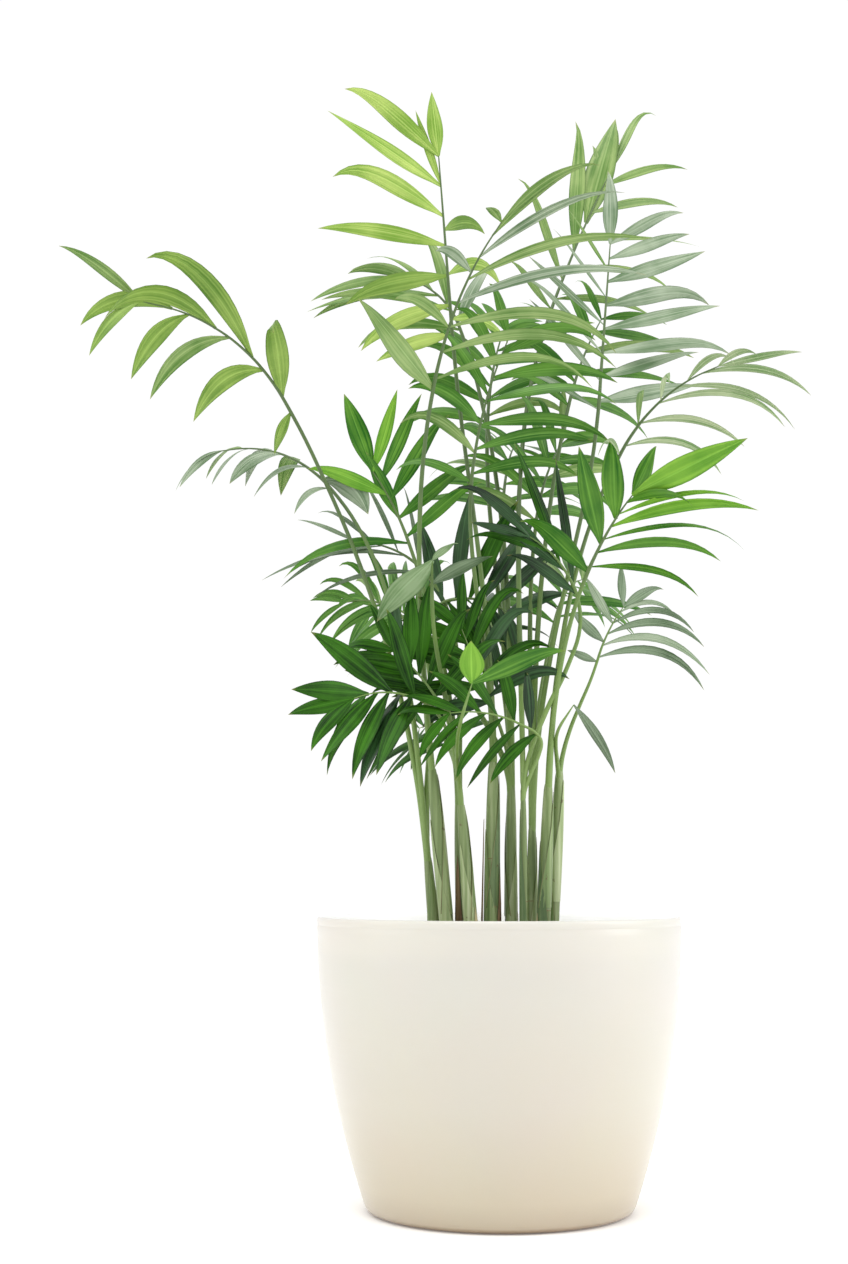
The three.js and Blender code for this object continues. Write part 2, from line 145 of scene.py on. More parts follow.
# Height and radius of the rings that don't follow the bell, on the way up outside and down inside.
POT_UNDERSIDE = (
    (0.0012, 0.058), (0.0012, 0.068), (0.0, 0.0695), (0.0, 0.0835), (0.0004, 0.0860),
    (0.0021, 0.0897), (0.0040, 0.0912),
)
POT_LIP = (
    (0.1908, 0.12496), (0.1912, 0.12480), (0.1916, 0.12480), (0.1920, 0.12498), (0.1952, 0.12500),
    (0.1962, 0.12470), (0.1968, 0.12410), (0.1970, 0.12340), (0.1967, 0.12260), (0.1958, 0.12215),
    (0.1945, 0.12200),
)
POT_INNER_FOOT = ((0.0075, 0.0880), (0.0050, 0.0850), (POT_FLOOR, 0.0815), (POT_FLOOR, 0.040))


def pot_radius(height):
    """The bell's outer radius: full at the rim, and less the further down, faster and faster."""
    drop = 1 - height / POT_HEIGHT
    return POT_RIM - POT_BELLY * drop * drop


def drawn_up(name, rings, sides):
    """A closed body: a filled circle that is extruded from ring to ring, each (centre, radius)."""
    centre, radius = rings[0]
    bpy.ops.mesh.primitive_circle_add(vertices=sides, radius=radius, fill_type="NGON", location=centre)
    body = bpy.context.object
    body.name = name
    bpy.ops.object.mode_set(mode="EDIT")
    for next_centre, next_radius in rings[1:]:
        step = [b - a for a, b in zip(centre, next_centre)]
        bpy.ops.mesh.extrude_region_move(TRANSFORM_OT_translate={"value": step})
        growth = next_radius / radius
        bpy.ops.transform.resize(value=(growth, growth, 1), center_override=next_centre)
        centre, radius = next_centre, next_radius
    bpy.ops.mesh.select_all(action="SELECT")
    bpy.ops.mesh.normals_make_consistent(inside=False)
    bpy.ops.object.mode_set(mode="OBJECT")
    bpy.ops.object.transform_apply(location=True, rotation=True, scale=True)
    return body


def pot_rings():
    """Each ring of the pot, up the outside, over the lip and down the inside."""
    outside = [0.006, 0.009] + [0.015 + 0.009 * i for i in range(BELL_RINGS)]
    inside = [0.190 - 0.0094 * i for i in range(BELL_RINGS)]
    rings = list(POT_UNDERSIDE)
    rings += [(height, pot_radius(height)) for height in outside]
    rings += POT_LIP
    rings += [(height, pot_radius(height) - POT_WALL) for height in inside]
    rings += POT_INNER_FOOT
    return [((0, 0, height), radius) for height, radius in rings]


planter = drawn_up("planter", pot_rings(), POT_SIDES)
bpy.ops.object.shade_smooth_by_angle(angle=math.radians(40))


def climb(nodes, links, where, low, high):
    """How far up a place is, from 0 at the low height to 1 at the high one."""
    parts = nodes.new("ShaderNodeSeparateXYZ")
    links.new(where.outputs["Object"], parts.inputs["Vector"])
    rise = nodes.new("ShaderNodeMapRange")
    rise.inputs["From Min"].default_value = low
    rise.inputs["From Max"].default_value = high
    links.new(parts.outputs["Z"], rise.inputs["Value"])
    return rise.outputs["Result"]


def stretched(nodes, links, where, scale):
    """Places set close along some axes and wide along others, so that a cloud there is streaks."""
    drawn = nodes.new("ShaderNodeMapping")
    drawn.inputs["Scale"].default_value = scale
    links.new(where.outputs["Object"], drawn.inputs["Vector"])
    return drawn.outputs["Vector"]


def bumped(nodes, links, shader, height, strength, distance):
    """Fine relief from a pattern, for the light only."""
    relief = nodes.new("ShaderNodeBump")
    relief.inputs["Strength"].default_value = strength
    relief.inputs["Distance"].default_value = distance
    links.new(height, relief.inputs["Height"])
    links.new(relief.outputs["Normal"], shader.inputs["Normal"])


ivory_plastic, nodes, links, shader = surface("ivory_plastic", 0.42)
where = nodes.new("ShaderNodeTexCoord")
# The ivory is painted darker and warmer towards the foot as painted shade under the bell, with a thin
# brown band at the very foot as a painted contact shadow.
ivory_and_painted_shade = toned(
    nodes, links, climb(nodes, links, where, 0.0, POT_HEIGHT),
    (0.0, (146, 118, 84)), (0.010, (152, 128, 98)), (0.020, (181, 167, 145)), (0.10, (192, 180, 158)),
    (0.40, (200, 193, 178)), (0.75, (203, 198, 187)), (1.0, (204, 200, 191)),
)
ivory_and_painted_shade.name = "wall_tones_and_painted_shade"
# Faint level lines of the mould, close together, and a slow mottle in the plastic.
mould_lines = cloud(nodes, links, 1.0, 3, stretched(nodes, links, where, (6, 6, 900)))
mottle = cloud(nodes, links, 14, 4, where.outputs["Object"])
tinted = nodes.new("ShaderNodeMix")
tinted.data_type = "RGBA"
tinted.blend_type = "MULTIPLY"
tinted.inputs["Factor"].default_value = 0.06
links.new(ivory_and_painted_shade.outputs["Color"], tinted.inputs["A"])
links.new(mottle.outputs["Color"], tinted.inputs["B"])
links.new(tinted.outputs["Result"], shader.inputs["Base Color"])
satin = nodes.new("ShaderNodeMapRange")
satin.inputs["To Min"].default_value = 0.36
satin.inputs["To Max"].default_value = 0.50
links.new(mould_lines.outputs["Fac"], satin.inputs["Value"])
links.new(satin.outputs["Result"], shader.inputs["Roughness"])
bumped(nodes, links, shader, mould_lines.outputs["Fac"], 0.10, 0.0004)
shader.inputs["Coat Weight"].default_value = 0.7
shader.inputs["Coat Roughness"].default_value = 0.3
shader.inputs["Sheen Weight"].default_value = 0.2
shader.inputs["Sheen Roughness"].default_value = 0.3
shader.inputs["Subsurface Weight"].default_value = 0.35
shader.inputs["Subsurface Radius"].default_value = (0.012, 0.011, 0.009)
shader.inputs["Subsurface Scale"].default_value = 1.0
planter.data.materials.append(ivory_plastic)

# Inside, the wall is painted paler than the outside plastic as painted light, and light from behind also
# comes through it.
ivory_inside_painted_light = ivory_plastic.copy()
ivory_inside_painted_light.name = "ivory_inside_painted_light"
for stop in ivory_inside_painted_light.node_tree.nodes["wall_tones_and_painted_shade"].color_ramp.elements:
    stop.color = shade(236, 238, 230)
shader = ivory_inside_painted_light.node_tree.nodes["Principled BSDF"]
shader.inputs["Subsurface Weight"].default_value = 1.0
shader.inputs["Subsurface Radius"].default_value = (0.03, 0.03, 0.028)
planter.data.materials.append(ivory_inside_painted_light)
for face in planter.data.polygons:
    reach = math.hypot(face.center.x, face.center.y)
    if face.center.z > POT_HEIGHT / 2 and reach < pot_radius(face.center.z) - POT_WALL / 2:
        face.material_index = 1
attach(planter, "root")
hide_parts("pot")


# Potting soil: dark, loose peat that fills the planter to two fingers under the lip, uneven on top
# where it was pressed round the canes, with crumbs, bark chips and a few pale grains on it.
SOIL_TOP = 0.175
SOIL_FOOT = 0.081
SOIL_EDGE = 0.1195
SOIL_GAP = 0.0004
SOIL_SIDES = 96
# Rings of the bed: up its side to just under the surface, then in across its top, step by step.
SIDE_LOW = 0.009
SIDE_RISE = SOIL_TOP - 0.0115
SIDE_RINGS = 12
TOP_RINGS = 34
TOP_STEP = 0.0034
# The level strip along the wall, and how high heaps, clods and single crumbs stand up inside it.
LEVEL_STRIP = 0.006
HEAP_HEIGHT = 0.0011
CLOD_HEIGHT = 0.0007
CRUMB_HEIGHT = 0.0005

soil_rings = [((0, 0, POT_FLOOR + SOIL_GAP), SOIL_FOOT)]
for i in range(SIDE_RINGS):
    height = SIDE_LOW + SIDE_RISE * i / (SIDE_RINGS - 1)
    soil_rings.append(((0, 0, height), pot_radius(height) - POT_WALL - SOIL_GAP))
soil_rings += [((0, 0, SOIL_TOP), SOIL_EDGE - TOP_STEP * i) for i in range(TOP_RINGS)]
soil = drawn_up("soil_bed", soil_rings, SOIL_SIDES)

# One seeded source gives all that varies by chance, from here to the leaflets.
dice = random.Random(11)


def soil_lift(x, y):
    """How far the soil's surface is above or below level: slow heaps, then clods."""
    heap = math.sin(x * 61 + 1.3) * math.cos(y * 53 - 0.4) + 0.6 * math.sin((x - y) * 97)
    clods = math.sin(x * 430) * math.sin(y * 390 + x * 160) + 0.7 * math.sin(x * 810 - y * 690)
    return HEAP_HEIGHT * heap + CLOD_HEIGHT * clods


for corner in soil.data.vertices:
    if corner.co.z > SOIL_TOP - 0.0001:
        x, y, _ = corner.co
        inner = min(1.0, (SOIL_EDGE - math.hypot(x, y)) / LEVEL_STRIP)
        corner.co.z += inner * (soil_lift(x, y) + dice.uniform(-CRUMB_HEIGHT, CRUMB_HEIGHT))
bpy.ops.object.shade_smooth_by_angle(angle=math.radians(60))

peat, nodes, links, shader = surface("peat", 0.95)
where = nodes.new("ShaderNodeTexCoord")
clumps = cloud(nodes, links, 260, 6, where.outputs["Object"])
peat_tones = toned(nodes, links, clumps.outputs["Fac"], (0.3, (38, 27, 19)), (0.72, (98, 74, 52)))
links.new(peat_tones.outputs["Color"], shader.inputs["Base Color"])
bumped(nodes, links, shader, clumps.outputs["Fac"], 0.8, 0.001)
soil.data.materials.append(peat)
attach(soil, "root")
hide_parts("soil")

# One crumb is modelled, then sown over the bed in many sizes.
bpy.ops.mesh.primitive_ico_sphere_add(subdivisions=1, radius=1)
crumb = bpy.context.object
crumb_points = [corner.co.copy() for corner in crumb.data.vertices]
crumb_faces = [tuple(face.vertices) for face in crumb.data.polygons]
bpy.data.objects.remove(crumb)

# How far out crumbs are sown and how far they may reach, and the room that they leave to a cane.
SOWN_OUT = 0.1165
SOWN_LIMIT = 0.1175
CANE_ROOM = 0.0066
# Where the canes stand, x and y in millimetres.
CANE_FEET = {
    "a": (-43, 4), "b": (-34, -8), "c": (-25, 10), "d": (-18, -14), "e": (-5, 0), "f": (9, 12),
    "g": (17, -10), "h": (23, 4), "i": (30, -6), "j": (37, 10),
}
# What is sown: how many, the least and the largest size, flatness; then its finish, with the dark
# and the light tone, the pattern's scale and the roughness.
SOWN = {
    "soil_crumbs": (1500, 0.0008, 0.0024, 0.8, ("peat_crumb", (40, 28, 19), (92, 68, 46), 150, 0.95)),
    "bark_chips": (90, 0.0022, 0.0042, 0.35, ("bark", (72, 48, 30), (134, 98, 64), 300, 0.85)),
    "pale_grains": (110, 0.0007, 0.0015, 1.0, ("pale_grit", (196, 190, 176), (232, 228, 218), 400, 0.8)),
}


def built(name, points, faces):
    """A piece made of its corners and faces."""
    mesh = bpy.data.meshes.new(name)
    mesh.from_pydata(points, [], faces)
    piece = bpy.data.objects.new(name, mesh)
    bpy.context.scene.collection.objects.link(piece)
    return piece


def sown_crumbs(name, count, smallest, largest, flatness):
    """Crumbs strewn evenly over the bed, each pressed, turned and dented its own way."""
    points, faces = [], []
    while len(faces) < count * len(crumb_faces):
        reach = SOWN_OUT * math.sqrt(dice.random())
        turn = dice.uniform(0, 2 * math.pi)
        x, y = reach * math.cos(turn), reach * math.sin(turn)
        size = dice.uniform(smallest, largest) * dice.uniform(0.6, 1)
        if reach + size > SOWN_LIMIT:
            continue
        if any(math.hypot(x - a / 1000, y - b / 1000) < CANE_ROOM + size for a, b in CANE_FEET.values()):
            continue
        spin = Quaternion((0, 0, 1), dice.uniform(0, 6.3))
        lean = Quaternion((1, 0, 0), dice.uniform(-0.5, 0.5))
        stretch = Vector((dice.uniform(0.8, 1.5), dice.uniform(0.6, 1.1), 0))
        stretch.z = flatness * dice.uniform(0.7, 1.2)
        place = Vector((x, y, SOIL_TOP + soil_lift(x, y) + size * flatness * 0.3))
        first = len(points)
        for corner in crumb_points:
            lump = Vector(c * s * dice.uniform(0.82, 1.18) for c, s in zip(corner, stretch))
            points.append(place + spin @ lean @ (lump * size))
        faces += [tuple(first + i for i in face) for face in crumb_faces]
    return built(name, points, faces)


def grain(name, dark, light, scale, roughness):
    """Dull skin in two mingled tones."""
    material, nodes, links, shader = surface(name, roughness)
    where = nodes.new("ShaderNodeTexCoord")
    pattern = cloud(nodes, links, scale, 3, where.outputs["Object"])
    tones = toned(nodes, links, pattern.outputs["Fac"], (0.3, dark), (0.7, light))
    links.new(tones.outputs["Color"], shader.inputs["Base Color"])
    return material


for name, (count, smallest, largest, flatness, finish) in SOWN.items():
    sown = sown_crumbs(name, count, smallest, largest, flatness)
    sown.data.materials.append(grain(*finish))
    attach(sown, "root")


# Canes: ten slender stems that stand close together in the middle of the planter. Each is smooth
# and grey green, ringed by the scars of fallen fronds, and ends where the living stalks leave it.
# top x, y, z; radius at the foot and at the top, in millimetres.
CANES = {
    "a": ((-49, 2, 240), 4.5, 4.0),
    "b": ((-46, -10, 300), 5.5, 4.5),
    "c": ((-27, 12, 280), 4.5, 4.0),
    "d": ((-26, -16, 275), 5.0, 4.0),
    "e": ((-3, 2, 305), 5.8, 4.8),
    "f": ((10, 15, 290), 4.8, 4.0),
    "g": ((17, -12, 280), 3.2, 2.6),
    "h": ((24, 5, 262), 4.5, 3.6),
    "i": ((35, -4, 290), 5.2, 4.2),
    "j": ((44, 12, 300), 5.2, 4.0),
}
CANE_FOOT = 173
CANE_SIDES = 20
CANE_WIDTH = 0.92
# Height and width of a cane's rings: from the soil's surface, from a joint, and from its top, where
# it draws in between the stalks that it ends in.
FOOT_SWELLING = ((-0.003, 1.16), (0.003, 1.12), (0.010, 1.03))
JOINT_SWELLING = (
    (-0.0060, 1.0), (-0.0014, 1.02), (-0.0004, 1.045), (0.0004, 1.035), (0.0010, 0.985), (0.0050, 0.99),
)
CANE_TAPER = ((-0.044, 1.0), (-0.030, 0.96), (-0.016, 0.88), (-0.006, 0.78), (-0.002, 0.64), (0, 0.3))
# How high over the soil the first joint is, how far apart joints are, how long the stretch under
# the top is that has none, and how far a scar reaches from its joint.
FIRST_JOINT = (0.012, 0.036)
JOINT_STEP = (0.032, 0.060)
JOINTLESS = 0.052
SCAR = 0.0003


def cane_line(letter):
    """A cane's foot and top, and its radius at each."""
    top, foot_radius, top_radius = CANES[letter]
    foot = Vector((*CANE_FEET[letter], CANE_FOOT))
    return foot / 1000, Vector(top) / 1000, foot_radius / 1000, top_radius / 1000


def cane_point(letter, height):
    """The middle of a cane and its radius, at a height."""
    foot, top, foot_radius, top_radius = cane_line(letter)
    along = (height - foot.z) / (top.z - foot.z)
    return foot.lerp(top, along), CANE_WIDTH * (foot_radius + (top_radius - foot_radius) * along)


def drawn_in(letter, height):
    """How much a cane has drawn in at a height near its top."""
    drop = height - cane_line(letter)[1].z
    for (low, wide), (high, narrow) in zip(CANE_TAPER, CANE_TAPER[1:]):
        if low <= drop <= high:
            return wide + (narrow - wide) * (drop - low) / (high - low)
    return 1.0 if drop < 0 else CANE_TAPER[-1][1]


def cane_rings(letter, joints):
    """Rings from the soil to the tip: a faint swelling at each joint, then a long taper."""
    top = cane_line(letter)[1]
    heights = [(SOIL_TOP + rise, swell) for rise, swell in FOOT_SWELLING]
    for joint in joints:
        heights += [(joint + rise, swell) for rise, swell in JOINT_SWELLING]
    heights += [(top.z + drop, swell) for drop, swell in CANE_TAPER]
    rings = []
    for height, swell in heights:
        centre, radius = cane_point(letter, height)
        rings.append((tuple(centre), radius * swell))
    return rings


def stem_skin(name, dark, middle, light):
    """Smooth skin with long pale and dark streaks and a few brown specks where it was scratched."""
    material, nodes, links, shader = surface(name, 0.40)
    where = nodes.new("ShaderNodeTexCoord")
    streaks = cloud(nodes, links, 1.0, 4, stretched(nodes, links, where, (380, 380, 9)))
    tones = toned(nodes, links, streaks.outputs["Fac"], (0.28, dark), (0.5, middle), (0.74, light))
    specks = cloud(nodes, links, 170, 2, where.outputs["Object"])
    speck_edge = nodes.new("ShaderNodeMapRange")
    speck_edge.inputs["From Min"].default_value = 0.70
    speck_edge.inputs["From Max"].default_value = 0.76
    speck_edge.inputs["To Max"].default_value = 0.8
    links.new(specks.outputs["Fac"], speck_edge.inputs["Value"])
    speckled = nodes.new("ShaderNodeMix")
    speckled.data_type = "RGBA"
    links.new(speck_edge.outputs["Result"], speckled.inputs["Factor"])
    links.new(tones.outputs["Color"], speckled.inputs["A"])
    speckled.inputs["B"].default_value = shade(92, 70, 46)
    links.new(speckled.outputs["Result"], shader.inputs["Base Color"])
    bumped(nodes, links, shader, streaks.outputs["Fac"], 0.2, 0.0005)
    return material


cane_green = stem_skin("cane_green", (88, 108, 58), (116, 136, 82), (154, 168, 122))
leaf_scar = grain("leaf_scar", (104, 92, 58), (128, 128, 84), 240, 0.7)

for letter in CANES:
    bpy.ops.object.select_all(action="DESELECT")
    height = SOIL_TOP + dice.uniform(*FIRST_JOINT)
    joints = []
    while height < cane_line(letter)[1].z - JOINTLESS:
        joints.append(height)
        height += dice.uniform(*JOINT_STEP)
    cane = drawn_up(f"stem_{letter}", cane_rings(letter, joints), CANE_SIDES)
    bpy.ops.object.shade_smooth_by_angle(angle=math.radians(50))
    cane.data.materials.append(cane_green)
    cane.data.materials.append(leaf_scar)
    for face in cane.data.polygons:
        if any(abs(face.center.z - joint) < SCAR for joint in joints):
            face.material_index = 1
    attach(cane, "root")
    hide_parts(f"cane_{letter}")


# Sheaths: the feet of the fronds, which wrap a cane and overlap. Living ones are smooth and green
# with a thin brown edge that slants up to the stalk; old ones are brown or straw and frayed.
# cane, from and to what height above the soil in mm, middle of the wrap in degrees from the front
# (to the right), width of the wrap in degrees, share of it lost on the way up, finish.
SHEATHS = [
    ("a", 0, 62, 30, 320, 0.75, "green"), ("b", 0, 92, -70, 320, 0.75, "pale"),
    ("b", 26, 122, 110, 300, 0.7, "pale"), ("c", 6, 104, 70, 300, 0.75, "deep"),
    ("d", 0, 74, -50, 300, 0.8, "pale"), ("d", 22, 98, 140, 280, 0.7, "green"),
    ("e", 0, 84, -60, 300, 0.75, "green"), ("e", 30, 126, 100, 300, 0.7, "deep"),
    ("f", 0, 70, 60, 320, 0.8, "pale"), ("f", 24, 112, 220, 280, 0.7, "green"),
    ("g", 0, 98, -70, 300, 0.75, "deep"), ("h", 0, 80, 100, 320, 0.8, "pale"),
    ("i", 0, 76, -75, 320, 0.8, "deep"), ("i", 30, 110, 80, 280, 0.7, "green"),
    ("j", 0, 96, -110, 320, 0.8, "green"), ("j", 34, 120, 60, 280, 0.7, "pale"),
    ("c", 0, 62, -24, 165, 0.6, "brown"), ("e", 0, 58, 62, 120, 0.8, "brown"),
    ("e", 0, 92, -95, 34, 0.9, "brown"), ("d", 0, 30, 36, 70, 0.3, "straw"),
    ("b", 0, 22, 95, 90, 0.5, "brown"), ("a", 0, 24, 70, 100, 0.4, "brown"),
    ("i", 0, 26, -50, 60, 0.6, "straw"), ("j", 0, 52, -90, 60, 0.9, "brown"),
    ("f", 0, 60, 150, 110, 0.5, "brown"), ("h", 0, 46, 190, 130, 0.3, "straw"),
    ("c", 0, 54, 170, 120, 0.4, "straw"), ("b", 0, 62, 185, 110, 0.5, "brown"),
]
SHEATH_SIDES = (-1.0, -0.95, -0.65, -0.33, 0.0, 0.33, 0.65, 0.95, 1.0)
SHEATH_COLUMNS = len(SHEATH_SIDES) - 1
SHEATH_ROWS = 12
SHEATH_FINISHES = ("green", "pale", "deep", "brown", "straw", "edge")
# How snugly a wrap follows its cane, how far the first one stands off it, and its thickness, by
# which the next one stands off further. Every wrap begins a little under the soil's surface.
SNUGNESS = 1.04
FIRST_WRAP = 0.0003
WRAP_THICKNESS = 0.0002
SHEATH_START = SOIL_TOP - 0.002
# How much lower the top is at the sides than at its point, on dry wraps and on living ones, how
# uneven a dry edge is, how far to a side the point leans, and how far a dry edge curls out.
DRY_SLOPE = 0.75
LIVING_SLOPE = 0.3
FRAY = (-0.08, 0.12)
POINT_LEAN = 0.35
CURL = 0.0008


def sheath_point(letter, height, turn, lift):
    """A place on a wrap: round its cane, as far out as the cane is thick there, and a lift more."""
    centre, radius = cane_point(letter, height)
    out = Vector((math.sin(turn), -math.cos(turn), 0))
    return centre + out * (radius * SNUGNESS * max(0.7, drawn_in(letter, height)) + lift)


def sheath_shell(points, faces, finishes, order, values):
    """One wrap: an outer and an inner skin, closed at the rim, its top drawn up to a point."""
    letter, low, high, middle, wrap, loss, finish = values
    dry = finish in ("brown", "straw")
    slope = DRY_SLOPE if dry else LIVING_SLOPE
    first = len(points)
    fray = [dice.uniform(*FRAY) if dry else 0.0 for _ in SHEATH_SIDES]
    lean = dice.uniform(-POINT_LEAN, POINT_LEAN)
    outside = FIRST_WRAP + WRAP_THICKNESS * order
    for skin in (outside, outside - WRAP_THICKNESS):
        for row in range(SHEATH_ROWS + 1):
            share = (row / SHEATH_ROWS) ** 1.3
            for side, uneven in zip(SHEATH_SIDES, fray):
                peak = max(0.12, 1 - abs(side - lean) ** 1.4 * slope + uneven)
                height = SHEATH_START + low / 1000 + (high - low) / 1000 * peak * share
                turn = math.radians(middle + wrap / 2 * side * (1 - loss * share))
                curl = CURL * share ** 3 * (0.4 + abs(side)) if dry else -0.0002 * (1 - share) ** 8
                points.append(sheath_point(letter, height, turn, skin + curl))
    across = SHEATH_COLUMNS + 1
    layer = (SHEATH_ROWS + 1) * across
    plain = SHEATH_FINISHES.index(finish)
    margin = plain if dry else SHEATH_FINISHES.index("edge")
    for row in range(SHEATH_ROWS):
        for column in range(SHEATH_COLUMNS):
            a = first + row * across + column
            faces.append((a, a + 1, a + 1 + across, a + across))
            b = a + layer
            faces.append((b, b + across, b + 1 + across, b + 1))
            finishes += [margin if column in (0, SHEATH_COLUMNS - 1) else plain] * 2
    for column in range(SHEATH_COLUMNS):
        low_edge = first + column
        faces.append((low_edge + 1, low_edge, low_edge + layer, low_edge + 1 + layer))
        top_edge = first + SHEATH_ROWS * across + column
        faces.append((top_edge, top_edge + 1, top_edge + 1 + layer, top_edge + layer))
    for row in range(SHEATH_ROWS):
        left = first + row * across
        faces.append((left, left + across, left + across + layer, left + layer))
        right = left + SHEATH_COLUMNS
        faces.append((right + across, right, right + layer, right + across + layer))
    finishes += [margin] * (2 * SHEATH_COLUMNS + 2 * SHEATH_ROWS)


def papery(name, dark, light):
    """Dry skin with close lengthwise fibres."""
    material, nodes, links, shader = surface(name, 0.62)
    where = nodes.new("ShaderNodeTexCoord")
    fibres = cloud(nodes, links, 1.0, 3, stretched(nodes, links, where, (900, 900, 30)))
    tones = toned(nodes, links, fibres.outputs["Fac"], (0.3, dark), (0.72, light))
    links.new(tones.outputs["Color"], shader.inputs["Base Color"])
    bumped(nodes, links, shader, fibres.outputs["Fac"], 0.5, 0.0004)
    return material


sheath_points, sheath_faces, sheath_finishes = [], [], []
for number, values in enumerate(SHEATHS):
    worn_under = sum(before[0] == values[0] for before in SHEATHS[:number])
    sheath_shell(sheath_points, sheath_faces, sheath_finishes, worn_under, values)
sheaths = built("sheaths", sheath_points, sheath_faces)
for finish in (
    stem_skin("sheath_green", (92, 118, 66), (124, 148, 90), (166, 182, 134)),
    stem_skin("sheath_pale", (120, 144, 88), (156, 174, 120), (192, 204, 162)),
    stem_skin("sheath_deep", (66, 92, 50), (90, 116, 68), (124, 146, 96)),
    papery("brown_sheath", (84, 62, 38), (150, 124, 86)),
    papery("straw_sheath", (146, 134, 92), (206, 196, 150)),
    papery("sheath_edge", (98, 96, 58), (142, 142, 96)),
):
    sheaths.data.materials.append(finish)
sheaths.data.polygons.foreach_set("material_index", sheath_finishes)
bpy.ops.object.select_all(action="DESELECT")
bpy.context.view_layer.objects.active = sheaths
sheaths.select_set(True)
bpy.ops.object.shade_smooth_by_angle(angle=math.radians(50))
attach(sheaths, "root")


